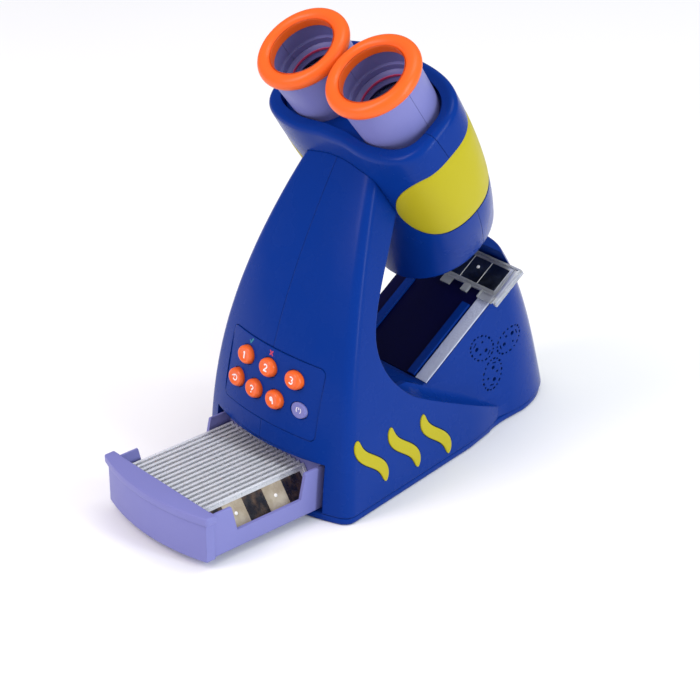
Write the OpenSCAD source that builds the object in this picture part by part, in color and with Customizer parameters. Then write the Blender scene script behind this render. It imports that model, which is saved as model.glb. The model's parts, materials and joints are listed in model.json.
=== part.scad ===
// Children's slide microscope: a moulded base and leaning arm, a twin-eyepiece head,
// a tilted stage with a picture slide, seven sprung buttons and a slide tray in the base.
// +X is the user's right, +Y points away from the user, +Z is up.
// The origin is at the middle of the base's underside. The tray is drawn out to the stop at its bay's mouth.

/* [Base and arm] */
// Length of the base, front to back
base_len = 234; // [230:1:238]
// Half-width of the base at its front corners
base_half_w = 67; // [65:0.5:69]
// How much the half-width drops from the floor to the top of the arm
arm_taper = 30; // [28:1:32]
// Half-width of the rear drum under the stage
drum_half_w = 38; // [37:0.5:39]
// Wall thickness of the housings
wall = 2.4; // [2:0.2:2.6]

/* [Head] */
// Tilt of the eyepieces from upright
tilt = 35; // [34:0.5:36]
// Height of the eyecup rings' centres
eye_z = 260.4; // [255:0.2:265]
// Distance from the middle to each eyepiece axis
eye_x = 30.2; // [30:0.1:31]
// Half-width of the head at its widest
head_half_w = 68; // [66:0.5:70]
// Radius of the nose over the stage
nose_r = 39; // [37:0.5:40]

/* [Tray and slides] */
// Width of the tray's body
tray_w = 91; // [88:0.5:91]
// Depth of the tray's body
tray_d = 95; // [92:1:96]
// Length of one picture slide
slide_len = 88; // [84:1:90]
// Number of slides stored in the tray
stored_count = 17; // [12:1:17]

/* [Buttons] */
// Width of a button's oval cap
button_d = 13.3; // [12.9:0.2:13.7]
// How far a button travels
button_travel = 1.2; // [1:0.1:1.4]

/* [Hidden] */
$fn = 64;
eps = 0.01;
gap = 0.3;

blue = [0.11, 0.26, 0.63];
dark_blue = [0.10, 0.09, 0.36];
lavender = [0.52, 0.52, 0.82];
orange = [1, 0.43, 0.12];
yellow = [0.83, 0.78, 0.16];
frosted = [0.78, 0.82, 0.88];

// ---- heights of the base's layers ----
foot_h = 0.25;
plate_t = 4.75;
plate_top = foot_h + plate_t;
arm_top = 205;
front_y = -base_len / 2;
rear_y = base_len / 2;

// ---- curves ----
function bez(p, t) =
    pow(1 - t, 3) * p[0] + 3 * t * pow(1 - t, 2) * p[1] + 3 * t * t * (1 - t) * p[2] + pow(t, 3) * p[3];
function bez_run(p, n, from = 0) = [for (i = [from:n]) bez(p, i / n)];
// the housing's front edge at x = 0, as (y, z)
seam = [[front_y, 0], [front_y + 2.5, 75], [front_y + 21, 128], [front_y + 67.5, arm_top]];
// the arm's rear edge, down to the deepest point of the throat, then out to the ledge's tail
throat_upper = [[-28, 190], [-39, 162], [-66, 132], [-67, 107]];
throat_lower = [[-67, 107], [-67, 90], [-56, 74.5], [-38, 60.5]];
ledge = [[-38, 60.5], [-16, 46.5], [22, 30], [52, 13]];

// ---- the skirt and arm: one ring for each point of the seam ----
front_r = 147;
side_taper = 0.149;
corner = 6.5;
// the sides run straight back, then turn in to meet the drum
side_turn_y = 15;
function side_x(y, z, inset) = base_half_w - arm_taper * pow(z / arm_top, 1.8)
    - side_taper * (y - front_y - 12) - 0.0039 * pow(max(0, y - side_turn_y), 2) - inset;
function front_dy(x) = front_r - sqrt(front_r * front_r - x * x);
function corner_x(y0, z, inset, x, n = 6) = n == 0 ? x
    : corner_x(y0, z, inset, side_x(y0 + front_dy(x), z, inset), n - 1);
function quad(a, b, c, t) = (1 - t) * (1 - t) * a + 2 * t * (1 - t) * b + t * t * c;
function skirt_ring(s, inset, back_y) =
    let(y0 = s[0] + inset, z = s[1],
        xc = corner_x(y0, z, inset, 40), yc = y0 + front_dy(xc),
        xa = xc - corner,
        a = [xa, y0 + front_dy(xa)],
        b = [side_x(yc + corner, z, inset), yc + corner])
    concat(
        [for (i = [0:5]) let(x = xa * i / 5) [x, y0 + front_dy(x), z]],
        [for (i = [1:5]) let(q = quad(a, [xc, yc], b, i / 5)) [q[0], q[1], z]],
        [for (y = [side_turn_y, 30, 42, 50]) [side_x(y, z, inset), y, z]],
        [[side_x(back_y, z, inset), back_y, z], [0, back_y, z]]);
module loft(rings) {
    n = len(rings[0]);
    m = len(rings);
    polyhedron(
        points = [for (r = rings) for (p = r) p],
        faces = concat(
            [[for (i = [n - 1:-1:0]) (m - 1) * n + i]],
            [for (j = [0:m - 2]) for (i = [0:n - 1]) [j * n + i, j * n + (i + 1) % n, (j + 1) * n + i]],
            [for (j = [0:m - 2]) for (i = [0:n - 1])
                [j * n + (i + 1) % n, (j + 1) * n + (i + 1) % n, (j + 1) * n + i]],
            [[for (i = [0:n - 1]) i]]));
}
module skirt_half(inset) {
    loft([for (i = [0:16]) skirt_ring(bez(seam, i / 16), inset, 70)]);
}
module side_prism(outline, half_w = 90) {
    rotate([90, 0, 90]) translate([0, 0, -half_w]) linear_extrude(2 * half_w) polygon(outline);
}
module arm_profile(back = 0, drop = 0) {
    side_prism([for (p = concat(
        [[-150, plate_top + drop], [-150, 220], [-28, 220]],
        bez_run(throat_upper, 7), bez_run(throat_lower, 6, 1), bez_run(ledge, 6, 1),
        [[56, plate_top + drop]])) [p[0] - back, p[1] - drop]]);
}

// ---- the drum behind the arm, under the stage ----
stage_h = 190.3;
slide_v = -9.5;
hood_v = 6;
hood_h = 12.5;
function optic_y(v, h) = eye_y + h * sin(tilt) + v * cos(tilt);
function optic_z(v, h) = eye_z - h * cos(tilt) + v * sin(tilt);
eye_y = front_y + 66.7;
module optic(h = 0) {
    translate([0, eye_y, eye_z]) rotate([tilt, 0, 0]) translate([0, 0, -h]) children();
}
// the rear wall at x = 0, as (y, z)
rear_wall = [[rear_y + 1.6, plate_top], [rear_y - 10.8, 45], [rear_y - 26.2, 94], [rear_y - 55.8, 126]];
function drum_ring(s, inset) =
    let(depth = 57 - 0.28 * s[1], yr = s[0] - inset, yc = s[0] - depth, w = drum_half_w - inset)
    concat([[0, -60, s[1]], [w, -60, s[1]]],
        [for (i = [0:9]) let(q = i * 10) [w * cos(q), yc + (yr - yc) * sin(q), s[1]]]);
module drum_half(inset) {
    loft([for (i = [0:12]) drum_ring(bez(rear_wall, i / 12), inset)]);
}
module drum_profile(drop = 0) {
    side_prism([
        [-50, plate_top], [-50, 70 - drop], [-34, 58 - drop], [-15, optic_z(-89, stage_h) - drop],
        [optic_y(hood_v, stage_h), optic_z(hood_v, stage_h) - drop],
        [optic_y(hood_v, stage_h - hood_h), optic_z(hood_v, stage_h - hood_h) - drop],
        [140, optic_z(hood_v + 8, stage_h - hood_h) - drop], [140, plate_top]]);
}
// the sloping ledge between the skirt's top edge and the speaker face
function ledge_ring(t) =
    let(p = bez(ledge, t), x = side_x(p[0], p[1], 0), rise = 5.5 * min(1, 8 * t) * min(1, 3 * (1 - t)))
    [[drum_half_w - 4, p[0], p[1] - 4], [x, p[0], p[1]],
        [drum_half_w, p[0], p[1] + rise + 0.05], [drum_half_w - 4, p[0], p[1] + rise + 0.05]];
module ledge_wedge() {
    loft([for (i = [0:10]) ledge_ring(i / 10)]);
}

// ---- the head: rings at distances below the eyecup rings, along the tilted axis ----
rim_top_h = 31;
deck_h = 37;
nose_h = 153;
nose_v = -9;
nose_round = 7;
grip_depth = 1.6;
function head_half_w_at(h) =
    h < 55 ? head_half_w - 1.5 * pow((55 - h) / 24, 2)
    : head_half_w - (head_half_w - nose_r) * pow((h - 55) / (nose_h - 55), 2);
function head_front(h) = -34 - 14 * (h - rim_top_h) / (nose_h - rim_top_h);
function head_rear(h) = 37.5 - 7.5 * (h - rim_top_h) / (nose_h - rim_top_h);
// how square the corners are: 0 is an ellipse
function head_square(h) = max(0, 1 - (h - rim_top_h) / 110);
function head_inset(h) =
    h > nose_h - nose_round ? nose_round - sqrt(max(0, pow(nose_round, 2) - pow(h - nose_h + nose_round, 2)))
    : h < rim_top_h + 4 ? 4 - sqrt(max(0, 16 - pow(rim_top_h + 4 - h, 2))) : 0;
function wave(u, h) = abs(u) < 34 ? 3.5 * pow(cos(90 * u / 34), 2) * max(0, 1 - (h - rim_top_h) / 70) : 0;
function spow(c, e) = sign(c) * pow(abs(c), e);
function head_point(q, h, inset) =
    let(i = inset + head_inset(h), a = head_half_w_at(h) - i,
        vm = (head_front(h) + head_rear(h)) / 2, b = (head_rear(h) - head_front(h)) / 2 - i,
        e = sin(q) < 0 ? 1 - 0.52 * head_square(h) : 1 - 0.2 * head_square(h),
        u = a * spow(cos(q), e), v = vm + b * spow(sin(q), e))
    [u, v + (sin(q) < 0 ? wave(u, h) : 0), -h];
head_hs = [rim_top_h, 32, 33.5, 36, 46, 58, 70, 82, 94, 106, 117, 127, 136, 142, 146, 149, 151.3, 152.6];
head_steps = 48;
module head_solid(inset = 0, hs = head_hs) {
    optic() loft([for (i = [len(hs) - 1:-1:0])
        [for (k = [0:head_steps - 1]) head_point(360 * k / head_steps, hs[i], inset)]]);
}
// grip edges by the angle round the head: q = 90 is the back, and the lobe's tip is at the front corner
grip_tip = -66;
grip_mid = 77;
// half the grip's height: even along the sides, and round at the tip
function grip_half(q) = 26.5 * max(0.06, sqrt(1 - pow(min(1, max(0, (-27 - q) / (-27 - grip_tip))), 2)));
// the grip's back reaches up to the rim, and its lower edge is higher there
function grip_upper(q, m) = grip_mid - grip_half(q) - 17 * pow(sin(max(0, q - 46) / 44 * 90), 2) - m;
function grip_lower(q, m) = grip_mid + grip_half(q) - 25.5 * pow(sin(max(0, q - 25) / 65 * 90), 2) + m;
module grip_solid(inner, outer, m) {
    n = 20;
    rows = 6;
    qs = [for (k = [-n:n]) let(q = 90 - (90 - grip_tip) * sin(90 * abs(k) / n)) k < 0 ? 180 - q : q];
    function at(q, r, inset) = let(qq = q > 90 ? 180 - q : q)
        head_point(q, grip_upper(qq, m) + (grip_lower(qq, m) - grip_upper(qq, m)) * r / rows, inset);
    optic() loft([for (q = qs) concat(
        [for (r = [0:rows]) at(q, r, outer)], [for (r = [rows:-1:0]) at(q, r, inner)])]);
}

// ================= base =================
module base_outline(inset) {
    for (s = [0, 1]) mirror([s, 0]) {
        polygon(concat(
            [for (p = skirt_ring([front_y, plate_top], inset, 58)) [p[0], p[1]]]));
        polygon([for (p = drum_ring([rear_y + 0.6, plate_top], inset)) [p[0], p[1]]]);
    }
}
door_y = [24, 84];
door_half_w = 29;
foot_at = [[44, -97], [-44, -97], [12, 103], [-12, 103]];
screw_at = [[59.5, -86], [-59.5, -86], [46, 2], [-46, 2], [27.5, 88.5], [-27.5, 88.5]];
module base_plate() {
    color(blue) difference() {
        translate([0, 0, foot_h]) linear_extrude(plate_t) base_outline(0.6);
        translate([-door_half_w, door_y[0], 0]) cube([2 * door_half_w, door_y[1] - door_y[0], plate_top + 1]);
        for (p = foot_at) translate([p[0], p[1], -1]) cylinder(r = 6, h = foot_h + 2);
        for (p = screw_at) translate([p[0], p[1], -1]) {
            cylinder(r = 3.3, h = foot_h + 3);
            cylinder(r = 1.6, h = 10);
        }
        translate([-35, -93, plate_top - 1.2]) cube([70, 78, 2]);
    }
}
module rubber_feet() {
    color([0.1, 0.1, 0.1]) for (p = foot_at) translate([p[0], p[1], 0]) cylinder(r = 5.9, h = foot_h + 0.95);
}
module housing_screws() {
    color("silver") for (p = screw_at) translate([p[0], p[1], foot_h + 0.3]) {
        cylinder(r = 3, h = 1.65);
        translate([0, 0, 1.6]) cylinder(r = 1.35, h = 9);
    }
}

// ================= housings =================
bay_half_w = 46.2;
bay_mouth_half_w = 50;
bay_z = [plate_top, 37.2];
bay_back = -10;
module housing_skin(inset) {
    intersection() {
        skirt_half(inset);
        arm_profile(inset, inset > 0 ? 1.2 : 0);
    }
    intersection() {
        drum_half(inset);
        drum_profile(inset * 1.25);
    }
}
panel_tilt = 12.5;
panel_at = bez(seam, 0.352);
panel_half_w = 41.5;
panel_half_h = 22.7;
panel_r = 4;
module panel_block(grow, low, high) {
    w = panel_half_w - panel_r;
    h = panel_half_h - panel_r;
    translate([0, 0, low]) linear_extrude(high - low) union() {
        square([2 * w + 2 * panel_r + 2 * grow, 2 * h], center = true);
        square([2 * w, 2 * h + 2 * panel_r + 2 * grow], center = true);
        for (x = [-w, w], y = [-h, h]) translate([x, y]) circle(r = panel_r + grow);
    }
}
// the control panel's frame: its origin on the front surface, +Z outward, +Y up the slope
module on_panel() {
    translate([0, panel_at[0], panel_at[1]]) rotate([90 - panel_tilt, 0, 0]) children();
}
inlay_count = 3;
function inlay_place(k) = [-79 + 30.5 * k, 35.2 - 4.3 * k];
inlay_path = [[-12, 18.5], [-15, 1], [15, -1], [12, -18.5]];
inlay_depth = 0.8;
function inlay_side(t, w) =
    let(d = bez(inlay_path, t + 0.01) - bez(inlay_path, t - 0.01), n = [-d[1], d[0]] / norm(d))
    bez(inlay_path, t) + n * w * sqrt(max(0, 1 - pow(abs(2 * t - 1), 5)));
module squiggle(grow) {
    polygon(concat(
        [for (i = [0:24]) inlay_side(i / 24, 3.9 + grow)],
        [for (i = [23:-1:1]) inlay_side(i / 24, -3.9 - grow)]));
}
// local +Z of the inlays points out of the right side wall
side_angle = atan(side_taper);
side_lean = 3.2;
module on_side(y, z) {
    translate([side_x(y, z, 0), y, z]) rotate([0, 0, -side_angle]) rotate([0, -side_lean, 0])
        rotate([90, 0, 90]) children();
}
module inlay_set(depth, out, grow) {
    for (k = [0:inlay_count - 1]) let(p = inlay_place(k))
        on_side(p[0], p[1]) translate([0, 0, -depth]) linear_extrude(depth + out) squiggle(grow);
}
speaker_y = 47;
speaker_z = 53;
// three petals of sound holes: dots along each petal's outline and one slot in its middle
petal_turn = [25, 145, 265];
module speaker_holes() {
    translate([drum_half_w - 6, speaker_y, speaker_z]) rotate([90, 0, 90])
        for (turn = petal_turn) rotate(turn) translate([14, 0, 0]) {
            for (q = [0:30:330]) translate([10.5 * cos(q), 7.2 * sin(q), 0]) cylinder(r = 0.8, h = 10, $fn = 16);
            for (u = [-4, 4]) translate([u, 0, 0]) cylinder(r = 1.3, h = 10, $fn = 16);
        }
}
module housing_half(side) {
    difference() {
        union() {
            housing_skin(0);
            ledge_wedge();
        }
        difference() {
            housing_skin(wall);
            for (p = screw_at) if (p[0] > 0) translate([p[0], p[1], 0]) cylinder(r = 3.4, h = 14);
        }
        head_solid(-0.05);
        intersection() {
            translate([-1, -140, bay_z[0] - 5]) cube([bay_half_w + 1, 142 + bay_back, bay_z[1] - bay_z[0] + 5]);
            translate([-1, 0, 0]) skirt_half(0);
        }
        translate([-1, -140, bay_z[0] - 5]) cube([bay_mouth_half_w + 1, 44, bay_z[1] - bay_z[0] + 5]);
        on_panel() panel_block(gap, -16, 24);
        for (p = screw_at) if (p[0] > 0) translate([p[0], p[1], 0]) cylinder(r = 1.4, h = 13);
        optic(stage_h) translate([-1, -88, -1.6]) cube([drum_half_w + 2, 88 + hood_v + 1, 10]);
        inlay_set(inlay_depth, 10, 0.15);
        optic(stage_h) translate([0, slide_v, -12]) cylinder(r = 2.6, h = 12);
        if (side > 0) speaker_holes();
    }
}
module right_housing() {
    color(blue) housing_half(1);
}
module left_housing() {
    color(blue) mirror([1, 0, 0]) housing_half(-1);
}
module right_inlays() {
    color(yellow) intersection() {
        inlay_set(inlay_depth, 10, 0);
        skirt_half(-0.4);
    }
}
module left_inlays() {
    color(yellow) mirror([1, 0, 0]) intersection() {
        inlay_set(inlay_depth, 10, 0);
        skirt_half(-0.4);
    }
}
module tray_garage() {
    color([0.06, 0.06, 0.14]) intersection() {
        difference() {
            translate([-bay_half_w - 1.4, -96, plate_top + eps])
                cube([2 * bay_half_w + 2.8, 96 + bay_back + 1.4, bay_z[1] - bay_z[0] + 1.4]);
            translate([-bay_half_w, -110, plate_top - 1]) cube([2 * bay_half_w, 110 + bay_back, bay_z[1] - bay_z[0] + 1]);
        }
        for (s = [0, 1]) mirror([s, 0, 0]) skirt_half(wall + 0.1);
    }
}

// ================= power, sound and light =================
cell_r = 7.1;
cell_len = 50.5;
cell_x = [-22, -7.35, 7.35, 22];
battery_z = plate_top + 12;
battery_y = [28, 80];
module battery_box() {
    color([0.08, 0.08, 0.1]) difference() {
        translate([-31, battery_y[0] - 2, plate_top + 0.3]) cube([62, battery_y[1] - battery_y[0] + 4, 23]);
        translate([-29.5, battery_y[0], plate_top - 1]) cube([59, battery_y[1] - battery_y[0], 21.5]);
    }
}
module battery_cells() {
    color("dimgray") for (i = [0:3])
        translate([cell_x[i], battery_y[0] + 0.9, battery_z]) rotate([-90, 0, 0]) {
            cylinder(r = cell_r, h = cell_len - 1.4);
            cylinder(r = 2.6, h = cell_len);
        }
}
module battery_contacts() {
    color("silver") for (s = [-1, 1], y = [battery_y[0] + 0.02, battery_y[1] - 0.42])
        translate([s * 14.7 - 11, y, battery_z - 5]) cube([22, 0.4, 10]);
}
module battery_door() {
    color(blue) difference() {
        translate([-door_half_w + gap, door_y[0] + gap, foot_h])
            cube([2 * door_half_w - 2 * gap, door_y[1] - door_y[0] - 2 * gap, 2.2]);
        translate([0, door_y[1] - 6, 0]) cylinder(r = 1.7, h = 10);
        translate([0, door_y[1] - 6, foot_h - 1]) cylinder(r = 3.2, h = 2);
        for (i = [-2:2]) translate([i * 6 - 1, door_y[0] + 8, foot_h - 1]) cube([2, 14, 1.6]);
    }
}
module battery_door_screw() {
    color("silver") translate([0, door_y[1] - 6, foot_h + 0.1]) {
        cylinder(r = 2.9, h = 0.9);
        cylinder(r = 1.5, h = 5.5);
    }
}
board_w = 74;
board_h = 42;
module circuit_board() {
    color("darkgreen") on_panel() difference() {
        translate([-board_w / 2, -board_h / 2, -13.5]) cube([board_w, board_h, 1.6]);
        for (s = [-1, 1], t = [-1, 1]) translate([s * 33, t * 17, -14]) cylinder(r = 1.6, h = 3);
    }
}
module sound_chip() {
    color([0.1, 0.1, 0.1]) on_panel() {
        translate([-11, -8, -16.5]) cube([22, 16, 2.95]);
        for (i = [-4:4]) translate([i * 2.4 - 0.4, -10, -14]) cube([0.8, 20, 0.4]);
    }
}
module speaker() {
    color([0.15, 0.15, 0.17]) translate([drum_half_w - wall - 0.7, speaker_y - 2, speaker_z - 2]) rotate([0, -90, 0]) {
        difference() {
            cylinder(r = 18, h = 4);
            translate([0, 0, -1]) cylinder(r1 = 16, r2 = 8, h = 4);
        }
        translate([0, 0, 4]) cylinder(r = 10, h = 7);
    }
}
module led_lamp() {
    color("white") optic(stage_h) translate([0, slide_v, -8]) {
        cylinder(r = 2.5, h = 4.5);
        translate([0, 0, 4.5]) sphere(r = 2.5);
        translate([0, 0, -1]) cylinder(r = 2.9, h = 1.2);
    }
}

// ================= stage =================
stage_t = 1.5;
strip_x = [28.6, 38];
rail_x = [21.8, 27.6];
strip_v = [-87.4, hood_v];
module stage_plate() {
    color(dark_blue) intersection() {
        optic(stage_h) difference() {
            translate([-drum_half_w, strip_v[0], -stage_t])
                cube([2 * drum_half_w, strip_v[1] - strip_v[0], stage_t]);
            translate([-15, slide_v - 9, -5]) cube([30, 18, 10]);
            translate([strip_x[0] - 0.2, strip_v[0] - 1, -0.9]) cube([20, 70, 5]);
        }
        for (s = [0, 1]) mirror([s, 0, 0]) drum_half(0);
    }
}
module stage_rails() {
    color(blue) optic(stage_h) {
        translate([rail_x[0], strip_v[0] + 0.5, eps]) cube([rail_x[1] - rail_x[0], 57, 1.8]);
        translate([-rail_x[1], strip_v[0] + 0.5, eps]) cube([rail_x[1] - rail_x[0], 57, 1.8]);
    }
}
module light_strip() {
    color([0.75, 0.76, 0.9]) optic(stage_h)
        translate([strip_x[0], strip_v[0], -0.9 + eps]) cube([strip_x[1] - strip_x[0], 68.5, 0.9 - eps]);
}
// a slide lies along X with its tabs towards -Y, resting on its underside at z = 0
slide_w = 23;
tab_len = 5;
frame_t = 3.2;
film_cells = [-2:2];
cell_pitch = 15;
module slide_shape() {
    difference() {
        union() {
            translate([-slide_len / 2, -slide_w / 2, 0]) cube([slide_len, slide_w, frame_t]);
            for (s = [-1, 1]) {
                translate([s * 35 - 6, -slide_w / 2 - tab_len, 0]) cube([12, tab_len + eps, 1.4]);
                translate([s * 17 - 2.5, -slide_w / 2 - tab_len, 0]) cube([5, tab_len + eps, 1.4]);
                translate([s * (slide_len / 2 + 0.6) - 1.2, -slide_w / 2 - tab_len, -0.6 + eps])
                    cube([2.4, slide_w + tab_len, frame_t + 0.6]);
            }
            translate([-4, -slide_w / 2 - tab_len, 0]) cube([8, tab_len + eps, 1.4]);
        }
        translate([-38, -8.5, 1.2]) cube([76, 17, 4]);
        translate([-37, -7.5, -1]) cube([74, 15, 4]);
    }
}
module film_shape() {
    for (i = film_cells) translate([i * cell_pitch - 7.4, -8.2, 1.25]) cube([14.8, 16.4, 0.5]);
}
slide_lift = 0.62;
module slide_frame() {
    color(frosted) optic(stage_h) translate([0, slide_v + 2.5, slide_lift]) slide_shape();
}
module slide_film() {
    color([0.05, 0.06, 0.08]) optic(stage_h) translate([0, slide_v + 2.5, slide_lift]) film_shape();
}

// ================= head =================
head_split_v = -6;
module split_space(front) {
    optic(80) translate([-100, front ? head_split_v - 200 : head_split_v, -120]) cube([200, 200, 240]);
}
module deck_opening(grow, depth) {
    optic() loft([for (h = [deck_h + depth, rim_top_h - 3])
        [for (k = [0:head_steps - 1]) let(p = head_point(360 * k / head_steps, deck_h, 8.2 - grow)) [p[0], p[1], -h]]]);
}
module head_hollow() {
    head_solid(wall, [deck_h + 2, 46, 58, 70, 82, 94, 106, 117, 127, 136, 142, 146, nose_h - wall]);
    deck_opening(0, 3);
    optic(nose_h + 1) translate([0, nose_v, 0]) cylinder(r = 17, h = 12);
}
module head_shell(front) {
    color(blue) difference() {
        intersection() {
            head_solid();
            split_space(front);
        }
        head_hollow();
        grip_solid(grip_depth + 0.05, -6, 0.25);
    }
}
module head_front_shell() {
    head_shell(true);
}
module head_rear_shell() {
    head_shell(false);
}
module head_grip() {
    color(yellow) grip_solid(grip_depth, -0.25, 0);
}
tube_r = 24.6;
tube_top_r = 26;
tube_bore = 21;
module eyepiece_deck() {
    color(blue) difference() {
        deck_opening(-0.5, 2.2);
        optic(deck_h) translate([-100, -100, eps]) cube([200, 200, 20]);
        for (s = [-1, 1]) optic(deck_h + 6) translate([s * eye_x, 0, 0]) cylinder(r = tube_bore, h = 12);
    }
}
module eyepiece_tube(s, front) {
    color(lavender) intersection() {
        optic(deck_h - eps) translate([s * eye_x, 0, 0]) difference() {
            cylinder(r1 = tube_r, r2 = tube_top_r, h = deck_h - 3);
            translate([0, 0, -1]) cylinder(r = tube_bore, h = 24);
            translate([0, 0, 20]) cylinder(r = 22.5, h = 30);
        }
        optic(40) translate([-100, front ? -200 : 0, -60]) cube([200, 200, 200]);
    }
}
module left_tube_front() {
    eyepiece_tube(-1, true);
}
module left_tube_rear() {
    eyepiece_tube(-1, false);
}
module right_tube_front() {
    eyepiece_tube(1, true);
}
module right_tube_rear() {
    eyepiece_tube(1, false);
}
cup_r = 24.9;
cup_thick = 4.7;
module eyecup(s) {
    color(orange) optic() translate([s * eye_x, 0, 0]) rotate_extrude() difference() {
        union() {
            translate([cup_r, 0]) circle(r = cup_thick);
            translate([20.2, -3]) square([5, 6]);
        }
        translate([0, -20]) square([20.2, 40]);
        translate([19, -20]) square([9, 17.02]);
    }
}
module left_eyecup() {
    eyecup(-1);
}
module right_eyecup() {
    eyecup(1);
}
module lens_retainer(s) {
    color([0.85, 0.3, 0.45]) optic(25) translate([s * eye_x, 0, 0]) difference() {
        cylinder(r = 20.9, h = 2);
        translate([0, 0, -1]) cylinder(r = 16.5, h = 4);
    }
}
module left_lens_retainer() {
    lens_retainer(-1);
}
module right_lens_retainer() {
    lens_retainer(1);
}
module eyepiece_lens(s) {
    color([0.6, 0.7, 0.9, 0.5]) optic(28.6) translate([s * eye_x, 0, 0]) rotate_extrude() difference() {
        intersection() {
            translate([0, -60]) circle(r = 63.5, $fn = 180);
            translate([0, 0]) square([20.9, 10]);
        }
    }
}
module left_eyepiece_lens() {
    eyepiece_lens(-1);
}
module right_eyepiece_lens() {
    eyepiece_lens(1);
}
module objective_lens() {
    color([0.6, 0.7, 0.9, 0.5]) optic(nose_h - 6) translate([0, nose_v, 0]) rotate_extrude() intersection() {
        translate([0, -34]) circle(r = 38, $fn = 180);
        square([15.4, 10]);
    }
}
module objective_cell() {
    color([0.08, 0.08, 0.1]) optic(nose_h - wall - 0.05) translate([0, nose_v, 0]) difference() {
        cylinder(r = 20, h = 9);
        translate([0, 0, -1]) cylinder(r = 13, h = 12);
        translate([0, 0, 3.5]) cylinder(r = 15.5, h = 12);
    }
}

// ================= control panel and buttons =================
row_z = [83, 66.4];
button_foot = -9.2;
button_grid = [
    ["button_1", -21.7, 0], ["button_2", 0, 0], ["button_3", 21.7, 0],
    ["button_repeat", -28, 1], ["button_hint", -9.3, 1], ["button_quiz", 9.3, 1], ["button_power", 28, 1]
];
function panel_drop(x) = -front_dy(x) / cos(panel_tilt);
function row_y(r) = (row_z[r] - panel_at[1]) / cos(panel_tilt);
module control_panel() {
    color(blue) on_panel() difference() {
        intersection() {
            panel_block(0, -20, 20);
            translate([0, -60, -front_r - 0.4]) rotate([-90, 0, 0]) difference() {
                cylinder(r = front_r, h = 120, $fn = 240);
                translate([0, 0, -1]) cylinder(r = front_r - 2.4, h = 122, $fn = 240);
            }
        }
        for (k = [0:6]) let(b = button_grid[k])
            translate([b[1], row_y(b[2]), -30]) scale(button_oval(k)) cylinder(r = button_d / 2 + 0.4, h = 60);
    }
}
module keypad_membrane() {
    color([0.3, 0.3, 0.33]) on_panel() translate([-34, -18, -11.85]) difference() {
        cube([68, 36, 1.2]);
        for (s = [2, 66]) translate([s, 2, -1]) cylinder(r = 0.9, h = 4);
    }
}
top_r = 4.6;
dish_depth = 0.55;
// the buttons are oval, wider than they are tall
function button_oval(k) = button_grid[k][0] == "button_power" ? [0.93, 0.72, 1] : [1, 0.86, 1];
// half a button's outline: a flanged stem, a domed shoulder and a dished top
function button_outline(top, shoulder) =
    let(r = button_d / 2, r1 = shoulder > 1 ? top_r : r - shoulder)
    concat(
        [[0, button_foot], [r + 0.8, button_foot], [r + 0.8, button_foot + 1], [r, button_foot + 1]],
        [for (a = [0:15:75]) [r1 + (r - r1) * cos(a), top - shoulder + shoulder * sin(a)]],
        [for (i = [5:-1:0]) let(d = r1 * i / 5) [d, top - dish_depth * (1 - pow(d / r1, 2))]]);
module button(k) {
    b = button_grid[k];
    power = b[0] == "button_power";
    color(power ? lavender : orange) on_panel() translate([b[1], row_y(b[2]), 0])
        scale(button_oval(k)) rotate_extrude($fn = 32) polygon(button_outline(panel_drop(b[1]) + (power ? 0.4 : 3.2), power ? 0.5 : 2.6));
}
module button_1() {
    button(0);
}
module button_2() {
    button(1);
}
module button_3() {
    button(2);
}
module button_repeat() {
    button(3);
}
module button_hint() {
    button(4);
}
module button_quiz() {
    button(5);
}
module button_power() {
    button(6);
}

// ================= tray =================
tray_out = 88;
tray_z = plate_top + 0.5;
tray_h = 30.5;
tray_wall = 2;
tray_front = -101 - tray_out;
module tray_face_outline(dy) {
    polygon(concat(
        [for (i = [-8:8]) let(x = 49 * i / 8) [x, front_y + 5.2 + front_dy(x) + dy - tray_out]],
        [[49, tray_front + 3], [-49, tray_front + 3]]));
}
module tray() {
    color(lavender) difference() {
        union() {
            translate([-tray_w / 2, tray_front, tray_z]) cube([tray_w, tray_d - 6, tray_h - 2]);
            translate([0, 0, tray_z]) linear_extrude(tray_h - 4) tray_face_outline(0);
            translate([0, 0, tray_z + tray_h - 4 - eps]) linear_extrude(4) tray_face_outline(-1.8);
            translate([-5, tray_front + tray_d - 6 - eps, tray_z + tray_h - 9]) cube([10, 1.6, 5]);
        }
        translate([-tray_w / 2 + tray_wall, tray_front + tray_wall, tray_z + tray_wall])
            cube([tray_w - 2 * tray_wall, tray_d - 6 - 2 * tray_wall, tray_h]);
        translate([0, tray_front + tray_d / 2 - 3, tray_z + 12]) rotate([90, 0, 90])
            translate([0, 0, -60]) linear_extrude(120) polygon([[-24, 0], [24, 0], [31, 30], [-31, 30]]);
    }
}
stored_lean = 38;
stored_pitch = 4.2;
module stored_place(i) {
    translate([(i - (stored_count - 1) / 2) * stored_pitch, tray_front + tray_d / 2 - 3, tray_z + tray_wall + 10.6])
        rotate([0, 90 - stored_lean, 0]) rotate(90) children();
}
module stored_slides() {
    color(frosted) for (i = [0:stored_count - 1]) stored_place(i) difference() {
        translate([-42, -12, -1]) cube([84, 24, 2]);
        translate([-38, -8.5, 0]) cube([76, 17, 4]);
    }
}
module stored_films() {
    color([0.1, 0.1, 0.1]) for (i = [0:stored_count - 1]) stored_place(i)
        for (j = film_cells) translate([j * cell_pitch - 7.3, -8.2, 0.02]) cube([14.6, 16.4, 0.4]);
}

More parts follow.
